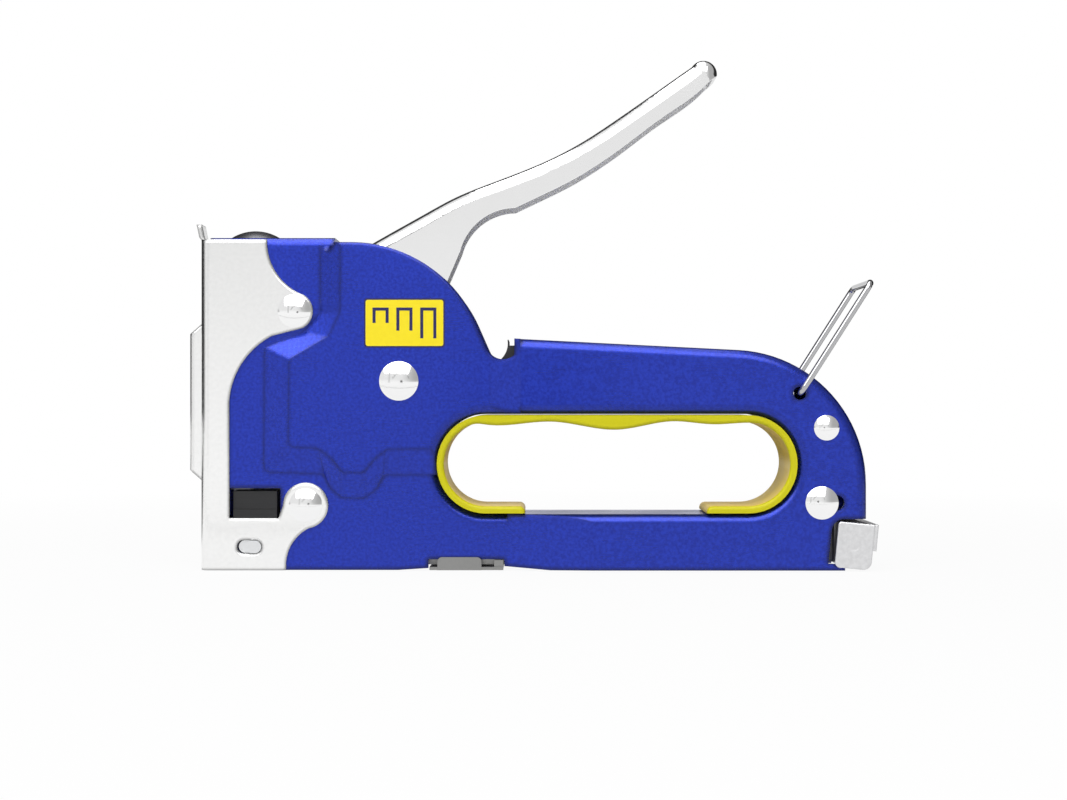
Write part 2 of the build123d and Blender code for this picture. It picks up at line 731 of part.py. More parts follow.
def hull(*circles):
    """Face wrapped tightly round circles given as (x, z, radius)."""
    edges = []
    for x, z, radius in circles:
        edges += (Pos(x, z) * Circle(radius)).edges()
    return make_hull(edges)


def lift_arm():
    """Hardened arm round the bushing: its nose lifts the striker, its lug is pinned to the lever."""
    boss = (PIVOT_X, PIVOT_Z, EAR_R - SHEET)
    elbow = (*ARM_ELBOW, ARM_ELBOW_R)
    face = hull(boss, elbow) + hull(elbow, (*ARM_TIP, ARM_TIP_R)) + hull(boss, (*ARM_PIN, 4.0))
    face -= Pos(PIVOT_X, PIVOT_Z) * Circle(BUSH_R + FIT)
    face -= Pos(*ARM_PIN) * Circle(ARM_PIN_R + FIT)
    return across(face, ARM_HALF)


def arm_pin():
    """Rivet that joins the arm to both cheeks of the lever."""
    seat = LEVER_HALF + SEAT
    head = rod_y(ARM_PIN, 2 * ARM_PIN_R, seat, seat + 1)
    return rod_y(ARM_PIN, ARM_PIN_R, -seat, seat) + head + mirrored(head)


def pivot_bushing():
    half = HEAD_INNER - RUN
    centre = (PIVOT_X, PIVOT_Z)
    return rod_y(centre, BUSH_R, -half, half) - rod_y(centre, PIVOT_R + FIT, -half, half)


def bumper():
    """Rubber block that stops the striker, with a step all round at the foot."""
    top = Pos((BUMPER_FRONT + BUMPER_REAR) / 2, (BUMPER_TOP + BUMPER_STEP_Z) / 2) * Rectangle(
        BUMPER_REAR - BUMPER_FRONT, BUMPER_TOP - BUMPER_STEP_Z
    )
    low = CHANNEL_TOP + SEAT
    foot = Pos((BUMPER_FRONT + BUMPER_REAR) / 2, (BUMPER_STEP_Z + low) / 2) * Rectangle(
        BUMPER_REAR - BUMPER_FRONT, BUMPER_STEP_Z - low
    )
    return across(top, BUMPER_HALF - 0.3) + across(foot, BUMPER_HALF)


def lever_stop():
    """Rubber pad behind the notch, on which the cheeks of the squeezed lever come to rest."""
    front = NOTCH_LOW[0] - 1.0
    rear = HANDLE_FRONT_X + STOP_LENGTH
    wall = HANDLE_FRONT_X - SHEET - RUN
    roof = HANDLE_FRONT_Z - SHEET - 2 * RUN
    bottom = roof - STOP_HEIGHT
    pad = closed_face(
        (front, bottom),
        (front, NOTCH_LOW[1] - RUN),
        ((front + STOP_PROUD, NOTCH_RISE[1] + 1.0), (wall - RUN, HANDLE_FRONT_Z - RUN)),
        (wall, HANDLE_FRONT_Z - RUN),
        (wall, roof),
        (rear, roof),
        (rear, bottom),
    )
    return across(pad, HANDLE_INNER - RUN)


def inside_hole(point, reach):
    """Whether a point of the side view is less than the reach from the hole's long axis."""
    straight = (HOLE_LENGTH - HOLE_HEIGHT) / 2
    along = max(abs(point.X - HOLE_X) - straight, 0)
    return math.hypot(along, point.Z - HOLE_Z) < reach


def grip_insert():
    """Liner of the finger hole, open along the bottom, with finger waves on top."""
    outer = HOLE_HEIGHT / 2 - RUN
    inner = outer - GRIP_T
    straight = (HOLE_LENGTH - HOLE_HEIGHT) / 2
    left_x = HOLE_X - straight
    right_x = HOLE_X + straight
    top = HOLE_Z + outer
    bottom = HOLE_Z - outer
    wave = [(HOLE_X + x, top - depth) for x, depth in GRIP_WAVE]
    left_top = polar(left_x, HOLE_Z, inner, 110)
    right_top = polar(right_x, HOLE_Z, inner, 70)
    rise = math.radians(20)
    floor = bottom + GRIP_T
    bend = GRIP_T - RUN
    left_bend = polar(GRIP_LEFT_END - bend, bottom + RUN, bend, 45)
    right_bend = polar(GRIP_RIGHT_END + bend, bottom + RUN, bend, 135)
    edges = [
        Line((GRIP_LEFT_END, bottom), (left_x, bottom)),
        ThreePointArc((left_x, bottom), (left_x - outer, HOLE_Z), (left_x, top)),
        Line((left_x, top), (right_x, top)),
        ThreePointArc((right_x, top), (right_x + outer, HOLE_Z), (right_x, bottom)),
        Line((right_x, bottom), (GRIP_RIGHT_END, bottom)),
        Line((GRIP_RIGHT_END, bottom), (GRIP_RIGHT_END, bottom + RUN)),
        ThreePointArc((GRIP_RIGHT_END, bottom + RUN), right_bend, (GRIP_RIGHT_END + bend, floor)),
        Line((GRIP_RIGHT_END + bend, floor), (right_x, floor)),
        ThreePointArc((right_x, floor), (right_x + inner, HOLE_Z), right_top),
        Spline(
            right_top, *reversed(wave), left_top,
            tangents=[(-math.cos(rise), math.sin(rise)), (-math.cos(rise), -math.sin(rise))],
        ),
        ThreePointArc(left_top, (left_x - inner, HOLE_Z), (left_x, floor)),
        Line((left_x, floor), (GRIP_LEFT_END - bend, floor)),
        ThreePointArc((GRIP_LEFT_END - bend, floor), left_bend, (GRIP_LEFT_END, bottom + RUN)),
        Line((GRIP_LEFT_END, bottom + RUN), (GRIP_LEFT_END, bottom)),
    ]
    liner = across(make_face(edges), GRIP_HALF)
    rims = [e for e in liner.edges() if abs(e.center().Y) > GRIP_HALF - 0.1]
    return fillet([e for e in rims if inside_hole(e.center(), inner + 0.2)], GRIP_LIP)


def locking_bail():
    """Wire loop whose two ends turn in through the shells."""
    plane = Plane(
        origin=(BAIL_X, 0, BAIL_Z),
        x_dir=(math.cos(math.radians(BAIL_ANGLE)), 0, math.sin(math.radians(BAIL_ANGLE))),
        z_dir=(math.sin(math.radians(BAIL_ANGLE)), 0, -math.cos(math.radians(BAIL_ANGLE))),
    )
    hook = HANDLE_INNER - 1
    points = [
        (0, -hook), (0, -BAIL_HALF), (BAIL_LENGTH, -BAIL_HALF),
        (BAIL_LENGTH, BAIL_HALF), (0, BAIL_HALF), (0, hook),
    ]
    path = plane * FilletPolyline(*points, radius=BAIL_BEND)
    profile = Plane(origin=path @ 0, z_dir=path % 0) * Circle(BAIL_WIRE_R)
    return sweep(profile, path=path)


def magazine_channel():
    """Fixed channel that the staples hang in, open underneath."""
    front = GUIDE_FRONT
    length = CHANNEL_REAR - front
    height = CHANNEL_TOP - CHANNEL_BOTTOM
    middle = front + length / 2
    outer = Pos(middle, 0, CHANNEL_BOTTOM + height / 2) * Box(length, 2 * CHANNEL_HALF, height)
    inner_h = height - THIN
    hollow = Box(length + 2, 2 * (CHANNEL_HALF - THIN), inner_h)
    return outer - Pos(middle, 0, CHANNEL_BOTTOM + inner_h / 2) * hollow


def channel_lugs():
    """Two stepped studs that hold the channel in the slots of the shells and nose plate."""
    head = Pos(LUG_X, LUG_Z) * SlotOverall(LUG_LENGTH, LUG_HEIGHT)
    foot = Pos(LUG_X - LUG_STEP / 2, LUG_Z) * SlotOverall(LUG_LENGTH + LUG_STEP, LUG_HEIGHT)
    near = CHANNEL_HALF + SEAT / 2
    lug = slab(head, near, NOSE_HALF + 0.3) + slab(foot, near, NOSE_HALF - PLATE)
    return [lug, mirrored(lug)]


def magazine_clip():
    """Plated bracket under the shells, with an upturned ear on each side."""
    front = CLIP_FRONT_X + RUN
    rear = CLIP_REAR_X - RUN
    ear_near = LOW_HALF + SEAT
    half = ear_near + THIN
    base = Pos((front + rear) / 2, 0, THIN / 2) * Box(rear - front, 2 * half, THIN)
    ear_face = Pos((CLIP_TAB_FRONT + CLIP_TAB_REAR) / 2, CLIP_TAB_TOP / 2) * Rectangle(
        CLIP_TAB_REAR - CLIP_TAB_FRONT, CLIP_TAB_TOP
    )
    ear = slab(fillet(ear_face.vertices().group_by(Axis.Y)[-1], 1.2), ear_near, half)
    nib_face = Pos(rear - 1.2, 1.3) * Rectangle(2.4, 2.6)
    nib = slab(nib_face, LOW_INNER + RUN, LOW_HALF - RUN)
    trimmed = []
    for side in (-1, 1):
        cut = Pos(CLIP_TAB_REAR + 10, side * (half + 4.6), 0) * Box(20, 10, 4)
        trimmed.append(cut)
        trimmed.append(Pos(CLIP_TAB_FRONT - 10, side * (half + 4.6), 0) * Box(20, 10, 4))
    for cut in trimmed:
        base -= cut
    return base + ear + mirrored(ear) + nib + mirrored(nib)


def staple_half(inset):
    return CHANNEL_HALF - THIN - RUN + SEAT - inset


def crown_top():
    return CHANNEL_TOP - THIN - RUN


def staple_strip():
    """Glued strip of staples astride the rail."""
    top = crown_top()
    height = STAPLE_LEG
    middle = GUIDE_FRONT + STRIP_LENGTH / 2
    half = staple_half(0)
    outer = Pos(middle, 0, top - height / 2) * Box(STRIP_LENGTH, 2 * half, height)
    hollow = Box(STRIP_LENGTH + 2, 2 * (half - STAPLE_WIRE), height)
    return outer - Pos(middle, 0, top - STAPLE_WIRE - height / 2) * hollow


def rail_half():
    return staple_half(STAPLE_WIRE) - RUN


def magazine_rail():
    """Inner rail that the staples straddle, closed in front to carry the guide rod."""
    top = crown_top() - STAPLE_WIRE - RUN
    height = top - RAIL_BOTTOM
    length = BLOCK_FRONT - RAIL_FRONT
    half = rail_half()
    middle = RAIL_FRONT + length / 2
    outer = Pos(middle, 0, RAIL_BOTTOM + height / 2) * Box(length, 2 * half, height)
    hollow = Box(length, 2 * (half - THIN), height)
    rail = outer - Pos(middle + THIN, 0, RAIL_BOTTOM + height / 2 - THIN) * hollow
    bore = Plane.YZ.offset(RAIL_FRONT - 1) * (Pos(0, ROD_Z) * Circle(ROD_R + FIT))
    return rail - extrude(bore, THIN + 2)


def guide_rod():
    face = Plane.YZ.offset(RAIL_FRONT) * (Pos(0, ROD_Z) * Circle(ROD_R))
    return extrude(face, BLOCK_FRONT + 4 - RAIL_FRONT)


def pusher_front():
    return GUIDE_FRONT + STRIP_LENGTH + RUN


def pusher_block():
    """Saddle that pushes the staples: astride the rail, closed below it, bored for the rod."""
    top = crown_top()
    low = RAIL_BOTTOM - RUN - THIN
    half = staple_half(0)
    middle = pusher_front() + PUSHER_LENGTH / 2
    block = Pos(middle, 0, (top + low) / 2) * Box(PUSHER_LENGTH, 2 * half, top - low)
    roof = top - STAPLE_WIRE
    rail_space = Box(PUSHER_LENGTH + 2, 2 * (half - STAPLE_WIRE), roof - (RAIL_BOTTOM - RUN))
    block -= Pos(middle, 0, (roof + RAIL_BOTTOM - RUN) / 2) * rail_space
    core_top = crown_top() - STAPLE_WIRE - RUN - THIN - RUN
    core_half = rail_half() - THIN - RUN
    core = Box(PUSHER_LENGTH, 2 * core_half, core_top - low)
    block += Pos(middle, 0, (core_top + low) / 2) * core
    bore = Plane.YZ.offset(pusher_front() - 1) * (Pos(0, ROD_Z) * Circle(ROD_R + FIT))
    return block - extrude(bore, PUSHER_LENGTH + 2)


def pusher_spring():
    """Long spring on the guide rod, between the pusher and the end block."""
    front = pusher_front() + PUSHER_LENGTH + SEAT
    length = BLOCK_FRONT - SEAT - front
    spring = coil(PUSHER_SPRING_R, PUSHER_WIRE_R, PUSHER_SPRING_TURNS, length)
    return Pos(front, 0, ROD_Z) * (Rot(0, 90, 0) * spring)


def end_block():
    """Rear end of the rail, widened between the shells to carry the catch."""
    top = CHANNEL_TOP - 0.4
    low = CHANNEL_BOTTOM + 0.7
    neck_l = BLOCK_WIDE_FRONT - BLOCK_FRONT
    middle_z = (top + low) / 2
    neck = Pos(BLOCK_FRONT + neck_l / 2, 0, middle_z) * Box(neck_l, 2 * CHANNEL_HALF, top - low)
    wide_l = BLOCK_REAR - BLOCK_WIDE_FRONT
    wide = Pos(BLOCK_WIDE_FRONT + wide_l / 2, 0, middle_z) * Box(wide_l, 2 * BLOCK_HALF, top - low)
    lower_edge = wide.edges().filter_by(Axis.Y).sort_by(lambda e: e.center().X - e.center().Z)[-1]
    block = neck + chamfer(lower_edge, BLOCK_CHAMFER)
    bore = Plane.YZ.offset(BLOCK_FRONT - 1) * (Pos(0, ROD_Z) * Circle(ROD_R + FIT))
    block -= extrude(bore, 5 + FIT)
    centre = (CATCH_PIN_X, CATCH_PIN_Z)
    return block - rod_y(centre, CATCH_PIN_R + FIT, -BLOCK_HALF - 1, BLOCK_HALF + 1)


def catch_pin():
    half = CATCH_HALF - CATCH_SIDE / 4 - SEAT
    return rod_y((CATCH_PIN_X, CATCH_PIN_Z), CATCH_PIN_R, -half, half)


def rear_catch():
    """Plated cap round the end block, leaning back a little, that swings on its pin."""
    top = CATCH_TOP_Z - 3 * RUN
    front = CATCH_FRONT_X + 2.0
    rear = CATCH_REAR - CATCH_STRIP
    side_face = closed_face(
        (front + 2.0, CATCH_LOW),
        ((front + 0.5, CATCH_LOW + 0.3), (front, CATCH_LOW + 1.4)),
        (front, top - 0.8),
        ((front + 0.25, top - 0.25), (front + 0.8, top)),
        (rear, top),
        (rear, CATCH_LOW + 2.0),
        ((rear - 0.7, CATCH_LOW + 0.6), (rear - 2.3, CATCH_LOW)),
    )
    cap = across(side_face, CATCH_HALF)
    inside_l = rear - CATCH_BACK - front
    inside = Box(2 * inside_l, 2 * (CATCH_HALF - CATCH_SIDE), 2 * CATCH_TOP_Z)
    cap -= Pos(front, 0, top / 2) * inside
    strip_low = CATCH_LOW + 5.0
    strip = Box(CATCH_STRIP + SEAT, 2 * CATCH_HALF - 3, top - strip_low)
    cap += Pos(rear + (CATCH_STRIP - SEAT) / 2, 0, (top + strip_low) / 2) * strip
    centre = (CATCH_PIN_X, CATCH_PIN_Z)
    pocket = CATCH_HALF - CATCH_SIDE / 4
    cap -= rod_y(centre, CATCH_PIN_R + FIT, -pocket, pocket)
    lean = Pos(CATCH_PIN_X, 0, CATCH_PIN_Z) * Rot(0, CATCH_TILT, 0)
    return lean * (Pos(-CATCH_PIN_X, 0, -CATCH_PIN_Z) * cap)


def catch_spring():
    """Leaf between the end block and the back of the catch."""
    x = BLOCK_REAR + SEAT
    leaf = closed_face(
        (x, CATCH_PIN_Z - 1.5),
        (x, CATCH_PIN_Z + 2.4),
        (x + 0.9, CATCH_PIN_Z + 4.9),
        (x + 1.3, CATCH_PIN_Z + 4.8),
        (x + 0.4, CATCH_PIN_Z + 2.3),
        (x + 0.4, CATCH_PIN_Z - 1.5),
    )
    return across(leaf, 4)


def main():
    os.makedirs("parts", exist_ok=True)
    left = left_shell()
    pivot = (PIVOT_X, PIVOT_Z)
    wing_seat = NOSE_HALF
    write("left_shell", left)
    write("right_shell", mirrored(left))
    write("nose_plate", nose_plate())
    write("blade_guide", blade_guide())
    write("pivot_rivet", rivet(pivot, PIVOT_HEAD_R, PIVOT_R, HEAD_HALF))
    write("upper_nose_rivet", rivet(NOSE_UPPER, NOSE_HEAD_R, NOSE_RIVET_R, wing_seat))
    write("lower_nose_rivet", rivet(NOSE_LOWER, NOSE_HEAD_R, NOSE_RIVET_R, wing_seat))
    write("upper_rear_rivet", rivet(REAR_UPPER, REAR_UPPER_HEAD_R, REAR_RIVET_R, HANDLE_HALF))
    write("lower_rear_rivet", rivet(REAR_LOWER, REAR_LOWER_HEAD_R, REAR_RIVET_R, HANDLE_HALF))
    write("upper_nose_spacer", spacer(NOSE_UPPER, NOSE_SPACER_R, NOSE_RIVET_R, LOW_INNER))
    write("lower_nose_spacer", spacer(NOSE_LOWER, NOSE_SPACER_R, NOSE_RIVET_R, LOW_INNER))
    write("upper_rear_spacer", spacer(REAR_UPPER, REAR_SPACER_R, REAR_RIVET_R, HANDLE_INNER))
    write("lower_rear_spacer", spacer(REAR_LOWER, REAR_SPACER_R, REAR_RIVET_R, HANDLE_INNER))
    write("bumper", bumper())
    write("lever_stop", lever_stop())
    write("grip_insert", grip_insert())
    write("tension_nut", tension_nut())
    write("tension_screw", tension_screw())
    write("spring_cap", spring_cap())
    write("main_spring", main_spring())
    write("striker", striker())
    write("driver_blade", driver_blade())
    write("lever", lever())
    write("lift_arm", lift_arm())
    write("arm_pin", arm_pin())
    write("pivot_bushing", pivot_bushing())
    write("locking_bail", locking_bail())
    write("magazine_channel", magazine_channel())
    write("channel_lugs", *channel_lugs())
    write("magazine_clip", magazine_clip())
    write("staple_strip", staple_strip())
    write("magazine_rail", magazine_rail())
    write("guide_rod", guide_rod())
    write("pusher_block", pusher_block())
    write("pusher_spring", pusher_spring())
    write("end_block", end_block())
    write("rear_catch", rear_catch())
    write("catch_pin", catch_pin())
    write("catch_spring", catch_spring())


main()
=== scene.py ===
# %% [markdown]
# # A hand staple gun, dressed on its measured frame
# The frame holds the solid pieces of the tool, each in its true place. This lesson loads it, gives
# every piece the finish that the real one has, adds the pieces that are too fine for the solid
# model, and sets up a small studio to look at the result.

# %% Load the frame
import bmesh
import bpy
import json
import math
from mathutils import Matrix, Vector


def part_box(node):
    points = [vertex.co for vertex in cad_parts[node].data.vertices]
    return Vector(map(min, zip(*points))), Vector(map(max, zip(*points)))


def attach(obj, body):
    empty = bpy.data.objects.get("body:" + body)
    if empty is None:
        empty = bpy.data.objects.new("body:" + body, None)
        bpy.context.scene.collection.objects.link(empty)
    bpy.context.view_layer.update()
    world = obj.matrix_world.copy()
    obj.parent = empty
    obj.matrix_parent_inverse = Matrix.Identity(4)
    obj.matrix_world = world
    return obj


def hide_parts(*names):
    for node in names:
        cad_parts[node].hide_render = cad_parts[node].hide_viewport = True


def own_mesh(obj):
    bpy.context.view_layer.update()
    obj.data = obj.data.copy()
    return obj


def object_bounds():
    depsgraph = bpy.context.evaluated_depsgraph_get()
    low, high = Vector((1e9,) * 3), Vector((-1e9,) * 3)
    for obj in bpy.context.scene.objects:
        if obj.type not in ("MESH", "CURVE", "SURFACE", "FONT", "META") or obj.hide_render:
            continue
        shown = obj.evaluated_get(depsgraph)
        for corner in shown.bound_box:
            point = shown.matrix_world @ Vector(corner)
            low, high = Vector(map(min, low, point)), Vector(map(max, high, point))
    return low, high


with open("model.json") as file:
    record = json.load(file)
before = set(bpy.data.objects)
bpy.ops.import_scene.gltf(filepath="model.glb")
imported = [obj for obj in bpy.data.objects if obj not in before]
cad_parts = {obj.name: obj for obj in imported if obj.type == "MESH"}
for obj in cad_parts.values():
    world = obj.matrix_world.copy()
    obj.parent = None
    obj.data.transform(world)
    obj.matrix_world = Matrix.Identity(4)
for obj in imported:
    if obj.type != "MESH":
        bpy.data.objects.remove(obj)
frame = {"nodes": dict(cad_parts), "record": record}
NODES = frame["nodes"]
solid_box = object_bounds()
print("solid model from", solid_box[0], "to", solid_box[1])

# %% [markdown]
# ## Helpers for node trees
# A finish is a small network of nodes. Writing each node in one line keeps the recipes below
# readable: the kind of node, its settings, and what goes into its sockets.

# %% Node helpers
def put(tree, kind, settings=None, **sockets):
    """Adds a node. A socket takes a plain value, or another node's output."""
    node = tree.nodes.new(kind)
    for key, value in (settings or {}).items():
        setattr(node, key, value)
    for key, value in sockets.items():
        socket = node.inputs[int(key[1:])] if key[1:].isdigit() else node.inputs[key.replace("_", " ")]
        if isinstance(value, bpy.types.NodeSocket):
            tree.links.new(value, socket)
        else:
            socket.default_value = value
    return node


def maths(tree, operation, *values):
    """One sum, and its result."""
    sockets = {f"_{number}": value for number, value in enumerate(values)}
    return put(tree, "ShaderNodeMath", {"operation": operation}, **sockets).outputs[0]


def mix_colours(tree, share, first, second):
    """The first colour where share is 0, the second where it is 1."""
    return put(tree, "ShaderNodeMix", {"data_type": "RGBA"}, _0=share, _6=first, _7=second).outputs[2]


def ramp(tree, value, start, end, low, high):
    """A soft step from low, before start, to high, after end."""
    return put(tree, "ShaderNodeMapRange", {"interpolation_type": "SMOOTHSTEP"}, Value=value,
               From_Min=start, From_Max=end, To_Min=low, To_Max=high).outputs[0]

# %% [markdown]
# ## Helpers for finishes
# A finish is a material with one Principled shader. An effect that several finishes share is a node
# group, which each of them places with its own values.

# %% Finish helpers
def new_finish(name, **sockets):
    """A material with one Principled shader. Plain values are set on the shader itself."""
    material = bpy.data.materials.new(name)
    material.use_nodes = True
    shader = material.node_tree.nodes["Principled BSDF"]
    for key, value in sockets.items():
        shader.inputs[key.replace("_", " ")].default_value = value
    print("new finish:", name)
    return material, material.node_tree, shader


def new_group(name, inputs, outputs):
    """A shared effect: a node group with named inputs and outputs."""
    tree = bpy.data.node_groups.new(name, "ShaderNodeTree")
    for label, kind, value in inputs:
        tree.interface.new_socket(label, in_out="INPUT", socket_type=kind).default_value = value
    for label, kind in outputs:
        tree.interface.new_socket(label, in_out="OUTPUT", socket_type=kind)
    print("new shared effect:", name)
    return tree, put(tree, "NodeGroupInput").outputs, put(tree, "NodeGroupOutput")


def use(tree, group, **values):
    """Places a shared effect in a material with its own values."""
    node = tree.nodes.new("ShaderNodeGroup")
    node.node_tree = group
    for key, value in values.items():
        node.inputs[key].default_value = value
    return node.outputs

# %% [markdown]
# ## Shared effect: ripple
# Sprayed enamel and plated steel are never quite flat. Both carry a soft ripple a millimetre or
# two wide, which breaks up reflections. One group serves both: it mixes a wide and a fine noise,
# and the caller picks the width and the height. The ripple could be modelled, but it is far lower
# than a face is wide, so a bump that only bends the normal looks the same and costs nothing.

# %% Ripple group
ripple, given, out = new_group("ripple", [
    ("Per metre", "NodeSocketFloat", 600.0),
    ("Height", "NodeSocketFloat", 0.00001),
    ("Fine share", "NodeSocketFloat", 0.3),
], [("Normal", "NodeSocketVector"), ("Mask", "NodeSocketFloat")])
place = put(ripple, "ShaderNodeTexCoord").outputs["Object"]
wide = put(ripple, "ShaderNodeTexNoise", Vector=place, Scale=given["Per metre"], Detail=1.0)
finer = maths(ripple, "MULTIPLY", given["Per metre"], 3.1)
fine = put(ripple, "ShaderNodeTexNoise", Vector=place, Scale=finer, Detail=1.0)
both = put(ripple, "ShaderNodeMix", Factor=given["Fine share"], A=wide.outputs[0], B=fine.outputs[0])
bump = put(ripple, "ShaderNodeBump", Height=both.outputs[0], Distance=given["Height"], Strength=1.0)
ripple.links.new(bump.outputs[0], out.inputs["Normal"])
ripple.links.new(both.outputs[0], out.inputs["Mask"])

# %% [markdown]
# ## Shared effect: soft edges
# Pressed sheet never turns a sharp corner, and a thick coat fills what corners there are. The
# Bevel node bends the normal near every edge, so light runs along it as it does on the real
# sheet. The group also tells where that happens: Crease is 1 along a fold and 0 away from it.
# Real chamfers would look the same, at the cost of many more faces on pieces that are already
# exact.

# %% Soft edges group
soft, given, out = new_group("soft_edges", [
    ("Radius", "NodeSocketFloat", 0.0006),
    ("Per metre", "NodeSocketFloat", 600.0),
    ("Height", "NodeSocketFloat", 0.00001),
], [("Normal", "NodeSocketVector"), ("Mask", "NodeSocketFloat"), ("Crease", "NodeSocketFloat")])
place = put(soft, "ShaderNodeTexCoord").outputs["Object"]
wide = put(soft, "ShaderNodeTexNoise", Vector=place, Scale=given["Per metre"], Detail=2.0)
rounded = put(soft, "ShaderNodeBevel", {"samples": 6}, Radius=given["Radius"])
flat = put(soft, "ShaderNodeNewGeometry").outputs["Normal"]
turned = put(soft, "ShaderNodeVectorMath", {"operation": "DISTANCE"}, _0=rounded.outputs[0], _1=flat)
crease = put(soft, "ShaderNodeMapRange", Value=turned.outputs["Value"], From_Min=0.03, From_Max=0.22)
soft.links.new(crease.outputs[0], out.inputs["Crease"])
bump = put(soft, "ShaderNodeBump", Height=wide.outputs[0], Distance=given["Height"],
           Normal=rounded.outputs[0], Strength=1.0)
soft.links.new(bump.outputs[0], out.inputs["Normal"])
spread = put(soft, "ShaderNodeMapRange", Value=wide.outputs[0], From_Min=0.35, From_Max=0.65)
soft.links.new(spread.outputs[0], out.inputs["Mask"])

# %% [markdown]
# ## Shared effect: handling marks
# A tool that has been on a bench has hairline scratches and faint greasy patches. They change how
# sharply a surface reflects, so the group puts out a mask that is used for roughness. They could
# be painted as a picture, but noise has no seams and needs no unwrapping.

# %% Handling marks group
marks, given, out = new_group("handling_marks", [
    ("Low", "NodeSocketFloat", 0.1),
    ("High", "NodeSocketFloat", 0.3),
], [("Roughness", "NodeSocketFloat")])
place = put(marks, "ShaderNodeTexCoord").outputs["Object"]
stretched = put(marks, "ShaderNodeMapping", Vector=place, Rotation=(0.3, 0.5, 0.2),
                Scale=(90, 1500, 1900))
lines = put(marks, "ShaderNodeTexNoise", Vector=stretched.outputs[0], Scale=1.0, Detail=2.0)
patches = put(marks, "ShaderNodeTexNoise", Vector=place, Scale=70.0, Detail=3.0)
mixed = put(marks, "ShaderNodeMix", Factor=0.6, A=lines.outputs[0], B=patches.outputs[0])
ranged = put(marks, "ShaderNodeMapRange", Value=mixed.outputs[0], From_Min=0.35, From_Max=0.65,
             To_Min=given["Low"], To_Max=given["High"])
marks.links.new(ranged.outputs[0], out.inputs["Roughness"])

# %% [markdown]
# ## The last step of a finish
# Every finish ends in the same way: its colour and its bumps go into the shader, and the handling
# marks go over them. Each recipe could make its own links, but one function keeps them alike.

# %% Dress a shader
def dress(tree, shader, colour, skin, low, high):
    """Links a colour, the bumps of a shared effect, and marks from low to high roughness."""
    tree.links.new(colour, shader.inputs["Base Color"])
    tree.links.new(skin["Normal"], shader.inputs["Normal"])
    worn = use(tree, marks, Low=low, High=high)
    tree.links.new(worn["Roughness"], shader.inputs["Roughness"])

# %% [markdown]
# ## Blue enamel
# The shells are stamped steel, sprayed with a blue enamel that has metal flake in it, so its
# highlights are blue and not white. The Principled shader gets a coloured base that is partly
# metallic, a thin coat, and an orange-peel ripple as its normal. The colour is a little deeper in
# the hollows of the ripple. Along folds it is pulled towards a deep blue, which is painted shade:
# the dark line that a rounded crease shows. A plain paint would give white highlights, and a full
# metal would go black wherever the room is dark, so the metal share lies between the two.

# %% Blue enamel
ENAMEL_DARK = (0.005, 0.022, 0.34, 1)
ENAMEL_LIGHT = (0.010, 0.036, 0.46, 1)
# Painted shade: the deep blue that the folds are darkened towards.
ENAMEL_CREASE_SHADE = (0.003, 0.010, 0.13, 1)

blue, tree, shader = new_finish("blue_enamel", Metallic=0.75, Coat_Weight=0.5, Coat_Roughness=0.20,
                                IOR=1.33)
skin = use(tree, soft, **{"Radius": 0.0018, "Per metre": 1300.0, "Height": 0.00005})
tone = mix_colours(tree, skin["Mask"], ENAMEL_DARK, ENAMEL_LIGHT)
# Painted shade: how far the colour is pulled towards that deep blue along each fold.
crease_shade_share = maths(tree, "MULTIPLY", skin["Crease"], 0.9)
dress(tree, shader, mix_colours(tree, crease_shade_share, tone, ENAMEL_CREASE_SHADE), skin, 0.24, 0.36)

# %% [markdown]
# ## Plated and bare steels
# The nose plate, the lever, the rivets and the bail are chrome plated, and the rest is zinc,
# plain, blackened or spring steel. All are the same recipe with other numbers, so one function
# makes them. The nose plate is satin, and its colour is darkened along its rolled rims: a painted
# reflection of a dark room. Those dark rims could come from a finer modelled radius, but a mask
# made from the rounded normals draws the same line from every side and needs no more faces.

# %% Steels
# Painted reflection: the near black that the satin rims are darkened towards.
PAINTED_RIM_SHADE = (0.02, 0.02, 0.02, 1)


def steel(name, colour, low, high, per_metre, height, edge=0.0, patch=0.9, painted_rim_bright=1.0):
    """A steel finish. Its corners look edge wide, or crisp at 0. Its patches are patch times as
    bright as the rest. Its rolled rims get a painted reflection of a dark room: they are darkened
    to about the last argument times as bright, and not at all at 1."""
    material, tree, shader = new_finish(name, Metallic=1.0)
    if edge:
        skin = use(tree, soft, **{"Radius": edge, "Per metre": per_metre, "Height": height})
    else:
        skin = use(tree, ripple, **{"Per metre": per_metre, "Height": height, "Fine share": 0.4})
    darker = tuple(c * patch for c in colour[:3]) + (1,)
    tone = mix_colours(tree, skin["Mask"], darker, colour)
    # Painted reflection: where the rounded normal turns from the flat one, the colour goes towards the
    # near black of the rims.
    flat = put(tree, "ShaderNodeNewGeometry").outputs["Normal"]
    rolled = put(tree, "ShaderNodeVectorMath", {"operation": "DISTANCE"}, _0=skin["Normal"], _1=flat)
    turned = put(tree, "ShaderNodeMapRange", Value=rolled.outputs["Value"], From_Min=0.12,
                 From_Max=0.65, To_Min=0.0, To_Max=1.0 - painted_rim_bright)
    dress(tree, shader, mix_colours(tree, turned.outputs[0], tone, PAINTED_RIM_SHADE), skin, low, high)
    return material


chrome_look = {"colour": (0.93, 0.93, 0.93, 1), "low": 0.05, "high": 0.12, "per_metre": 450,
               "height": 0.000004, "patch": 0.97}
chrome = steel("chrome_plate", **chrome_look)
bail_wire = steel("bail_plate", (0.50, 0.50, 0.51, 1), 0.05, 0.10, 900, 0.000004)
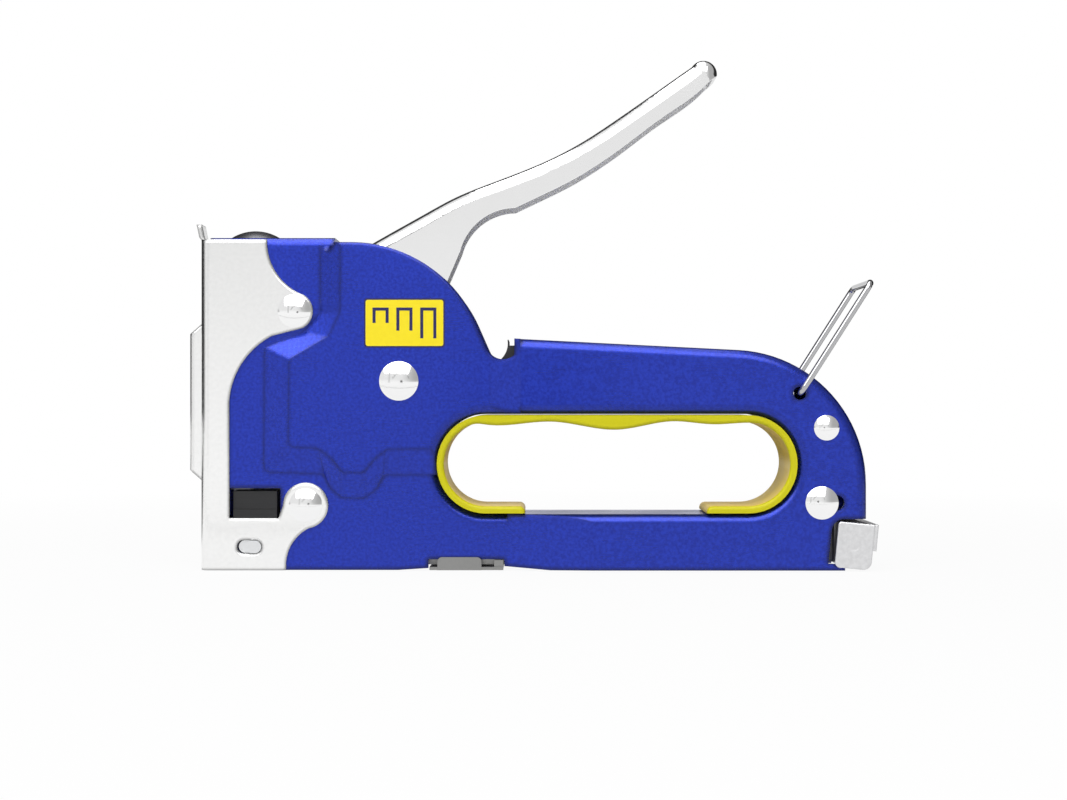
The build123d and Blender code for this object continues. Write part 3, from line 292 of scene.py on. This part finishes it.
# The satin plate's rims are darkened as a painted reflection.
satin = steel("satin_plate", (0.92, 0.92, 0.915, 1), 0.06, 0.14, 900, 0.000003, edge=0.0014,
              patch=0.975, painted_rim_bright=0.25)
catch_plate = steel("catch_plate", (0.77, 0.77, 0.78, 1), 0.26, 0.38, 900, 0.000008, edge=0.0006)
zinc = steel("zinc_plate", (0.80, 0.81, 0.82, 1), 0.22, 0.36, 900, 0.000008)
dull = steel("dull_steel", (0.30, 0.30, 0.295, 1), 0.30, 0.45, 1100, 0.000010)
plain = steel("plain_steel", (0.60, 0.60, 0.61, 1), 0.25, 0.40, 1200, 0.000006)
black_steel = steel("blackened_steel", (0.16, 0.16, 0.17, 1), 0.30, 0.42, 900, 0.000008)
wire = steel("spring_wire", (0.42, 0.42, 0.43, 1), 0.22, 0.35, 1500, 0.000004)

# %% [markdown]
# ## Inside of the lever
# The lever has the same plating as the rivets, but its inside was never polished: where a face
# looks towards the middle plane, it is less of a mirror. The inside could be a second sheet.
# Instead, the place across the tool times the sideways part of the normal is negative inside,
# which tells the two apart without cutting the lever.

# %% Lever plating
lever_plate = steel("lever_plate", **chrome_look)
tree = lever_plate.node_tree
position = put(tree, "ShaderNodeTexCoord").outputs["Object"]
normal = put(tree, "ShaderNodeNewGeometry").outputs["Normal"]
across = put(tree, "ShaderNodeSeparateXYZ", _0=position).outputs["Y"]
facing = put(tree, "ShaderNodeSeparateXYZ", _0=normal).outputs["Y"]
polished = put(tree, "ShaderNodeMapRange", Value=maths(tree, "MULTIPLY", across, facing),
               From_Min=-0.006, From_Max=-0.002, To_Min=0.2, To_Max=1.0)
tree.links.new(polished.outputs[0], tree.nodes["Principled BSDF"].inputs["Metallic"])

# %% [markdown]
# ## Grip liner and bumper
# The liner in the finger hole is moulded in yellow plastic, and the bumper in black rubber. The
# plastic lets a little light in, and that glow is painted: seen at a slant, its colour is mixed
# towards a warm orange by a Layer Weight. True light inside the plastic would do this too, but it
# is slow and grainy in a piece this thin.

# %% Plastics
YELLOW_DARK = (0.58, 0.54, 0.006, 1)
YELLOW_LIGHT = (0.68, 0.63, 0.010, 1)
# Painted glow: the warm colour of light coming through the plastic.
YELLOW_PAINTED_GLOW = (0.95, 0.62, 0.13, 1)
RUBBER_DARK = (0.008, 0.008, 0.009, 1)
RUBBER_LIGHT = (0.016, 0.016, 0.017, 1)

yellow, tree, shader = new_finish("yellow_plastic", IOR=1.33)
skin = use(tree, ripple, **{"Per metre": 1800.0, "Height": 0.000012, "Fine share": 0.5})
tone = mix_colours(tree, skin["Mask"], YELLOW_DARK, YELLOW_LIGHT)
# Painted glow: faces seen at a slant are mixed towards the warm colour.
slant = put(tree, "ShaderNodeLayerWeight", Blend=0.5).outputs["Facing"]
painted_glow_share = put(tree, "ShaderNodeMapRange", Value=slant, From_Min=0.55, From_Max=0.95, To_Min=0.0,
              To_Max=0.8)
dress(tree, shader, mix_colours(tree, painted_glow_share.outputs[0], tone, YELLOW_PAINTED_GLOW), skin, 0.30, 0.42)

rubber, tree, shader = new_finish("black_rubber", IOR=1.45)
skin = use(tree, ripple, **{"Per metre": 2500.0, "Height": 0.00003, "Fine share": 0.5})
dress(tree, shader, mix_colours(tree, skin["Mask"], RUBBER_DARK, RUBBER_LIGHT), skin, 0.5, 0.7)

# %% [markdown]
# ## Finish every solid piece
# The record says which slot each piece takes its finish from. A few pieces have one of their own.
# Those are polished or worn differently from the rest of their slot, so a list of names comes
# first and the slot is the rule for all others.

# %% Assign finishes
FINISHES = {
    "blue_paint": blue, "chrome": chrome, "zinc": zinc, "dark_steel": black_steel,
    "spring_steel": wire, "steel": plain, "yellow_plastic": yellow, "black_rubber": rubber,
}
OWN = {"nose_plate": satin, "rear_catch": catch_plate, "magazine_clip": dull,
       "end_block": black_steel, "magazine_channel": dull, "locking_bail": bail_wire,
       "lever": lever_plate}
for part in frame["record"]["subparts"]:
    mesh = NODES[part["node"]].data
    mesh.materials.clear()
    mesh.materials.append(OWN.get(part["node"], FINISHES[part["material_slot"]]))
print("finished", len(NODES), "solid pieces")

# %% [markdown]
# ## Helpers for modelling
# New pieces are modelled as by hand: start a primitive, go into edit mode, pick faces by where they
# are, and extrude, inset, cut or bevel them. Everything is deselected first, because an operator
# acts on all that is selected.

# %% Modelling helpers
MM = 0.001


def begin(kind, name, **settings):
    """Starts a piece from a primitive and opens it in edit mode."""
    bpy.ops.object.select_all(action="DESELECT")
    getattr(bpy.ops.mesh, f"primitive_{kind}_add")(**settings)
    piece = bpy.context.object
    piece.name = name
    bpy.ops.object.transform_apply(location=True, rotation=True, scale=True)
    bpy.ops.object.mode_set(mode="EDIT")
    return piece


def pick_faces(piece, test):
    """Selects the faces whose middle passes the test."""
    bpy.ops.mesh.select_all(action="DESELECT")
    bpy.ops.mesh.select_mode(type="FACE")
    mesh = bmesh.from_edit_mesh(piece.data)
    for face in mesh.faces:
        face.select_set(test(face.calc_center_median()))
    mesh.select_flush_mode()
    bmesh.update_edit_mesh(piece.data)


def cut(place, normal):
    """Cuts the whole piece along a plane, and keeps both sides."""
    bpy.ops.mesh.select_all(action="SELECT")
    bpy.ops.mesh.bisect(plane_co=place, plane_no=normal)


def end(piece, finish, body, smooth=30):
    """Closes edit mode, smooths what is nearly flat, and gives the piece its finish and body."""
    bpy.ops.object.mode_set(mode="OBJECT")
    bpy.ops.object.shade_smooth_by_angle(angle=math.radians(smooth))
    piece.data.materials.clear()
    piece.data.materials.append(finish)
    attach(piece, body)
    print("made", piece.name, "with", len(piece.data.polygons), "faces")
    return piece


def copy_of(piece, name, body):
    """A copy with its own mesh, picked and ready to be moved."""
    twin = piece.copy()
    twin.data = piece.data.copy()
    twin.name = name
    bpy.context.scene.collection.objects.link(twin)
    bpy.ops.object.select_all(action="DESELECT")
    twin.select_set(True)
    bpy.context.view_layer.objects.active = twin
    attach(twin, body)
    return twin


# %% [markdown]
# ## Printed label
# Each shell carries a printed film label above the pivot. This one is a plain size guide: a
# yellow panel in a dark frame, with three staples of growing leg. Its two inks share one recipe.
# It could be a picture laid on the shell, but plates need no unwrapping and stay sharp at any
# distance.

# %% Label finishes
def print_ink(name, dark, light):
    """Printed film, under a thin clear coat."""
    material, tree, shader = new_finish(name, Coat_Weight=0.2, Coat_Roughness=0.2, IOR=1.45)
    skin = use(tree, ripple, **{"Per metre": 900.0, "Height": 0.000010, "Fine share": 0.3})
    dress(tree, shader, mix_colours(tree, skin["Mask"], dark, light), skin, 0.28, 0.45)
    return material


label_yellow = print_ink("label_yellow", (0.88, 0.70, 0.004, 1), (0.95, 0.78, 0.008, 1))
label_ink = print_ink("label_ink", (0.004, 0.004, 0.060, 1), (0.007, 0.007, 0.11, 1))

# %% [markdown]
# ## Plates of the label
# A film is thin but not flat ink: it has an edge that catches light, so it is a very thin plate
# with rounded corners. The panel lies on the frame and leaves a narrow border of it bare. The
# bevel of the four corner points comes before the extrusion, because in a flat plate they are the
# only points there are.

# %% Label plates
LABEL_X = 51.25 * MM
LABEL_Z = 64.5 * MM
LABEL_LONG = 21.0 * MM
LABEL_TALL = 12.8 * MM
FILM = 0.06 * MM
BORDER = 0.4 * MM
shell_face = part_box("left_shell")[0][1]


def film(name, x, z, long, tall, back, corner, finish):
    """A thin upright plate with rounded corners whose back is at the given depth."""
    piece = begin("plane", name, size=1, location=(x, back, z), rotation=(math.pi / 2, 0, 0))
    bpy.ops.transform.resize(value=(long, 1, tall), center_override=(x, back, z))
    bpy.ops.mesh.select_mode(type="VERT")
    bpy.ops.mesh.bevel(offset=corner, segments=5, affect="VERTICES")
    bpy.ops.mesh.select_all(action="SELECT")
    bpy.ops.mesh.extrude_region_move(TRANSFORM_OT_translate={"value": (0, -FILM, 0)})
    bpy.ops.mesh.select_all(action="SELECT")
    bpy.ops.mesh.normals_make_consistent(inside=False)
    return end(piece, finish, "frame", 20)


back = film("label_frame", LABEL_X, LABEL_Z, LABEL_LONG, LABEL_TALL, shell_face, 0.8 * MM, label_ink)
panel = film("label_panel", LABEL_X, LABEL_Z, LABEL_LONG - 2 * BORDER, LABEL_TALL - 2 * BORDER,
             shell_face - FILM, 0.6 * MM, label_yellow)

# %% [markdown]
# ## Staples of the label
# The staples are cut from small plates: two upright cuts and one level cut leave the piece
# between the legs to be deleted. A copy of the whole label is then turned round for the other
# shell. Three joined bars would leave seams inside; a plate that is cut stays one piece.

# %% Staples on the label
def staple_mark(name, x, top, wide, leg, thick):
    """A flat staple: a plate with the piece between its legs cut out."""
    middle = top - leg / 2
    piece = begin("plane", name, size=1, location=(x, shell_face - 2 * FILM, middle),
                  rotation=(math.pi / 2, 0, 0))
    bpy.ops.transform.resize(value=(wide, 1, leg), center_override=(x, shell_face - 2 * FILM, middle))
    for side in (-1, 1):
        cut((x + side * (wide / 2 - thick), 0, 0), (1, 0, 0))
    cut((0, 0, top - thick), (0, 0, 1))
    pick_faces(piece, lambda p: abs(p.x - x) < wide / 2 - thick and p.z < top - thick)
    bpy.ops.mesh.delete(type="FACE")
    bpy.ops.mesh.select_all(action="SELECT")
    bpy.ops.mesh.extrude_region_move(TRANSFORM_OT_translate={"value": (0, -FILM / 2, 0)})
    bpy.ops.mesh.select_all(action="SELECT")
    bpy.ops.mesh.normals_make_consistent(inside=False)
    return end(piece, label_ink, "frame", 20)


LEGS = (4.0 * MM, 6.0 * MM, 8.0 * MM)
CROWN = 4.2 * MM
WIRE = 0.8 * MM
STEP = 6.2 * MM
label_parts = [back, panel]
for number, leg in enumerate(LEGS):
    x = LABEL_X + (number - 1) * STEP
    label_parts.append(staple_mark(f"label_staple_{number + 1}", x, LABEL_Z + 4.0 * MM, CROWN, leg, WIRE))

for part in label_parts:
    twin = copy_of(part, part.name + "_right", "frame")
    bpy.ops.object.mode_set(mode="EDIT")
    bpy.ops.mesh.select_all(action="SELECT")
    bpy.ops.transform.rotate(value=math.pi, orient_axis="Z", center_override=(LABEL_X, 0, 0))
    bpy.ops.object.mode_set(mode="OBJECT")

# %% [markdown]
# ## Springs
# Two springs are squeezed in use: the main spring between the striker and the cap as the lever
# closes, and the long pusher spring as the pusher is drawn back. The solid ones are stiff, so
# they are hidden and made again as coils in their place. A coil is a ring of wire swept by a
# screw, with its two ends closed. A curve with a round section could do it too, but the Screw
# modifier makes even turns from a number and a pitch, and once applied its points can be measured
# and placed.

# %% Coils
def coil(node, wire, turns, body, lengthwise):
    """A coil in the place of a solid spring, filling the solid one's length along its axis."""
    lowest, highest = (Vector(corner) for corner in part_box(node))
    axis = "XYZ".index(lengthwise)
    long = highest[axis] - lowest[axis]
    radius = (highest.y - lowest.y) / 2 - wire
    piece = begin("circle", node + "_coil", vertices=10, radius=wire, location=(radius, 0, wire),
                  rotation=(math.pi / 2, 0, 0))
    bpy.ops.object.mode_set(mode="OBJECT")
    sweep = piece.modifiers.new("sweep", "SCREW")
    sweep.steps = sweep.render_steps = 16
    sweep.iterations = turns
    sweep.screw_offset = (long - 2 * wire) / turns
    bpy.ops.object.modifier_apply(modifier="sweep")
    bpy.ops.object.mode_set(mode="EDIT")
    bpy.ops.mesh.select_all(action="SELECT")
    bpy.ops.mesh.fill_holes(sides=0)
    bpy.ops.mesh.select_all(action="SELECT")
    bpy.ops.mesh.normals_make_consistent(inside=False)
    if lengthwise == "X":
        bpy.ops.transform.rotate(value=math.pi / 2, orient_axis="Y", center_override=(0, 0, 0))
    points = [v.co for v in bmesh.from_edit_mesh(piece.data).verts]
    corner = Vector(min(p[i] for p in points) for i in range(3))
    bpy.ops.transform.translate(value=lowest - corner)
    end(piece, FINISHES["spring_steel"], body, 60)
    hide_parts(node)
    towards = Vector((0, 0, 0))
    towards[axis] = 1
    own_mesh(piece)
    print(piece.name, "is", round(long / MM, 1), "mm long")


coil("main_spring", 0.9 * MM, 6, "frame", "Z")
coil("pusher_spring", 0.35 * MM, 20, "magazine", "X")

# %% [markdown]
# ## Studio
# The floor is one large white plane, and the room above it is white to the camera. The floor
# shows nearly white to the camera, and still takes the shadow of the tool. In reflections it is
# white near the tool and far behind it, and dark between the two, where the table would end. A
# matt white floor alone would look grey in the plating, so a direct look sees a glow, and all
# other light sees matt paper.

# %% Floor and backdrop
low = solid_box[0][2]
bpy.ops.object.select_all(action="DESELECT")
bpy.ops.mesh.primitive_plane_add(size=1, location=(0.09, 0.6, low - 0.0002))
floor = bpy.context.object
floor.name = "sweep"
floor.scale = (6, 4, 1)
bpy.ops.object.transform_apply(location=True, rotation=False, scale=True)


def seen_directly(tree):
    """1 for rays that look at a surface directly, in a mirror or through glass."""
    path = put(tree, "ShaderNodeLightPath").outputs
    seen = maths(tree, "MAXIMUM", path["Is Camera Ray"], path["Is Glossy Ray"])
    return maths(tree, "MAXIMUM", seen, path["Is Transmission Ray"])


paper = bpy.data.materials.new("white_paper")
paper.use_nodes = True
tree = paper.node_tree
tree.nodes.clear()
place = put(tree, "ShaderNodeTexCoord").outputs["Object"]
from_tool = put(tree, "ShaderNodeVectorMath", {"operation": "DISTANCE"}, _0=place, _1=(0.09, 0.0, low))
far = put(tree, "ShaderNodeMapRange", Value=from_tool.outputs["Value"], From_Min=0.10, From_Max=0.45,
          To_Min=0.93, To_Max=1.0)
share = maths(tree, "MULTIPLY", seen_directly(tree), far.outputs[0])
depth = put(tree, "ShaderNodeSeparateXYZ", _0=place).outputs["Y"]
near_edge = ramp(tree, depth, 0.05, 0.10, 1.0, 0.10)
far_edge = ramp(tree, depth, 0.50, 0.70, 0.0, 1.0)
banded = maths(tree, "MAXIMUM", near_edge, far_edge)
bright = maths(tree, "MAXIMUM", banded, put(tree, "ShaderNodeLightPath").outputs["Is Camera Ray"])
matt = put(tree, "ShaderNodeBsdfDiffuse", Color=(0.60, 0.60, 0.60, 1))
glow = put(tree, "ShaderNodeEmission", Color=(1, 1, 1, 1), Strength=bright)
mixed = put(tree, "ShaderNodeMixShader", _0=share, _1=matt.outputs[0], _2=glow.outputs[0])
put(tree, "ShaderNodeOutputMaterial", Surface=mixed.outputs[0])
floor.data.materials.append(paper)
print("floor at height", round(low, 4))

# %% [markdown]
# ## The room
# Bright plating shows the room. A plated edge against white paper vanishes unless it mirrors
# something dark, so the room is dark in a ring round the paper behind the tool. That ring begins
# later above, where the lamps are, and a little sooner on the left. The front of the room is
# darker above and to the right. A picture of a real room could serve, but a graded world needs no
# file, and each dark part can be put where an edge needs it.

# %% World
ROOM_DARK = 0.05
ROOM_FILL = 0.25
LATER_ABOVE = -0.67
SOONER_LEFT = -0.25

world = bpy.data.worlds.new("studio")
bpy.context.scene.world = world
world.use_nodes = True
tree = world.node_tree
tree.nodes.clear()
direction = put(tree, "ShaderNodeSeparateXYZ", _0=put(tree, "ShaderNodeTexCoord").outputs["Generated"])
right, behind, up = (direction.outputs[axis] for axis in "XYZ")
front = maths(tree, "MULTIPLY", ramp(tree, up, -0.02, 0.11, 0.98, 0.85),
              ramp(tree, right, 0.0, 0.75, 1.0, 0.50))
begins = maths(tree, "MULTIPLY_ADD", maths(tree, "MAXIMUM", up, 0.0), LATER_ABOVE, behind)
begins = maths(tree, "MULTIPLY_ADD", maths(tree, "MINIMUM", right, 0.0), SOONER_LEFT, begins)
ring = maths(tree, "MAXIMUM", ramp(tree, begins, -0.30, 0.0, 1.0, ROOM_DARK),
             ramp(tree, behind, 0.955, 0.985, 0.0, 1.0))
shown = maths(tree, "MAXIMUM", maths(tree, "MULTIPLY", front, ring),
              put(tree, "ShaderNodeLightPath").outputs["Is Camera Ray"])
strength = put(tree, "ShaderNodeMapRange", Value=seen_directly(tree), To_Min=ROOM_FILL, To_Max=shown)
sky = put(tree, "ShaderNodeBackground", Color=(1, 1, 1, 1), Strength=strength.outputs[0])
put(tree, "ShaderNodeOutputWorld", Surface=sky.outputs[0])
print("room of", len(tree.nodes), "nodes")

# %% [markdown]
# ## Lamps
# A large softbox stands in front, above the camera, and a second lamp hangs overhead. Faces that
# lean up mirror them, and the floor lights the faces that lean down. Both are area lamps, because
# polished steel shows the shape of a lamp, and a point lamp would be a dot.

# %% Lamps
AIM = (0.085, 0, 0.05)


def lamp(name, place, size, glow):
    """A soft rectangular lamp whose surface is glow times as bright as white paper."""
    data = bpy.data.lights.new(name, "AREA")
    data.shape = "RECTANGLE"
    data.size, data.size_y = size
    data.energy = glow * math.pi * size[0] * size[1]
    obj = bpy.data.objects.new(name, data)
    bpy.context.scene.collection.objects.link(obj)
    obj.location = place
    obj.rotation_euler = (Vector(AIM) - Vector(place)).to_track_quat("-Z", "Y").to_euler()
    obj.visible_camera = False
    print("lamp", name, "of", round(data.energy, 2), "W")


lamp("overhead", (0.04, 0.0, 0.65), (0.6, 0.35), 2.8)
lamp("softbox", (-0.04, -0.55, 0.62), (1.05, 0.66), 3.0)

# %% [markdown]
# ## Cards
# Thin cards that only mirrors see stand for the softbox's stands, the table's edge, a corner of
# the wall and the lens. The domed rivets show them as strokes. Real stands could be modelled, but
# a mirror as small as a rivet shows only their outline.

# %% Cards
def card_finish(name, strength):
    """A card that glows with a plain strength: near 0 it is black, at 1 white."""
    material = bpy.data.materials.new(name)
    material.use_nodes = True
    material.node_tree.nodes.clear()
    glow = put(material.node_tree, "ShaderNodeEmission", Color=(1, 1, 1, 1), Strength=strength)
    put(material.node_tree, "ShaderNodeOutputMaterial", Surface=glow.outputs[0])
    return material


black_card = card_finish("black_card", 0.01)
grey_card = card_finish("grey_card", 0.55)


def card(name, place, size, turn, finish):
    """A card that only mirrors see."""
    bpy.ops.object.select_all(action="DESELECT")
    bpy.ops.mesh.primitive_plane_add(size=1, location=place, rotation=turn)
    flag = bpy.context.object
    flag.name = name
    flag.scale = (size[0], size[1], 1)
    flag.data.materials.append(finish)
    flag.visible_camera = False
    flag.visible_diffuse = False
    flag.visible_shadow = False
    flag.visible_transmission = False
    print("card", name)


upright = math.pi / 2
card("stand_left", (-0.125, -0.74, 0.27), (0.02, 0.30), (upright, 0.72, 0), black_card)
card("stand_right", (0.36, -0.74, 0.20), (0.02, 0.11), (upright, -0.5, 0), black_card)
card("table_edge", (0.09, -0.15, 0.001), (1.2, 0.005), (0, 0, 0), black_card)
card("wall_corner", (-0.35, -0.70, 0.15), (0.05, 0.5), (upright, 0, -0.46), grey_card)
card("lens", (0.085, -0.5, 0.044), (0.05, 0.05), (upright, 0, 0), black_card)

# %% [markdown]
# ## Camera
# The camera stands half a metre away and looks square at the left shell. A camera without
# perspective would be simpler, but this close the far half of the tool has to look a little
# smaller than the near half.

# %% Camera
CAMERA_PLACE = (0.0848, -0.5, 0.04446)
data = bpy.data.cameras.new("camera")
data.lens = 63.2
data.sensor_width = 36
data.clip_start = 0.01
camera = bpy.data.objects.new("camera", data)
bpy.context.scene.collection.objects.link(camera)
camera.location = CAMERA_PLACE
camera.rotation_euler = (math.pi / 2, 0, 0)
bpy.context.scene.camera = camera
bpy.context.scene.view_settings.view_transform = "Standard"
print("camera at", CAMERA_PLACE)
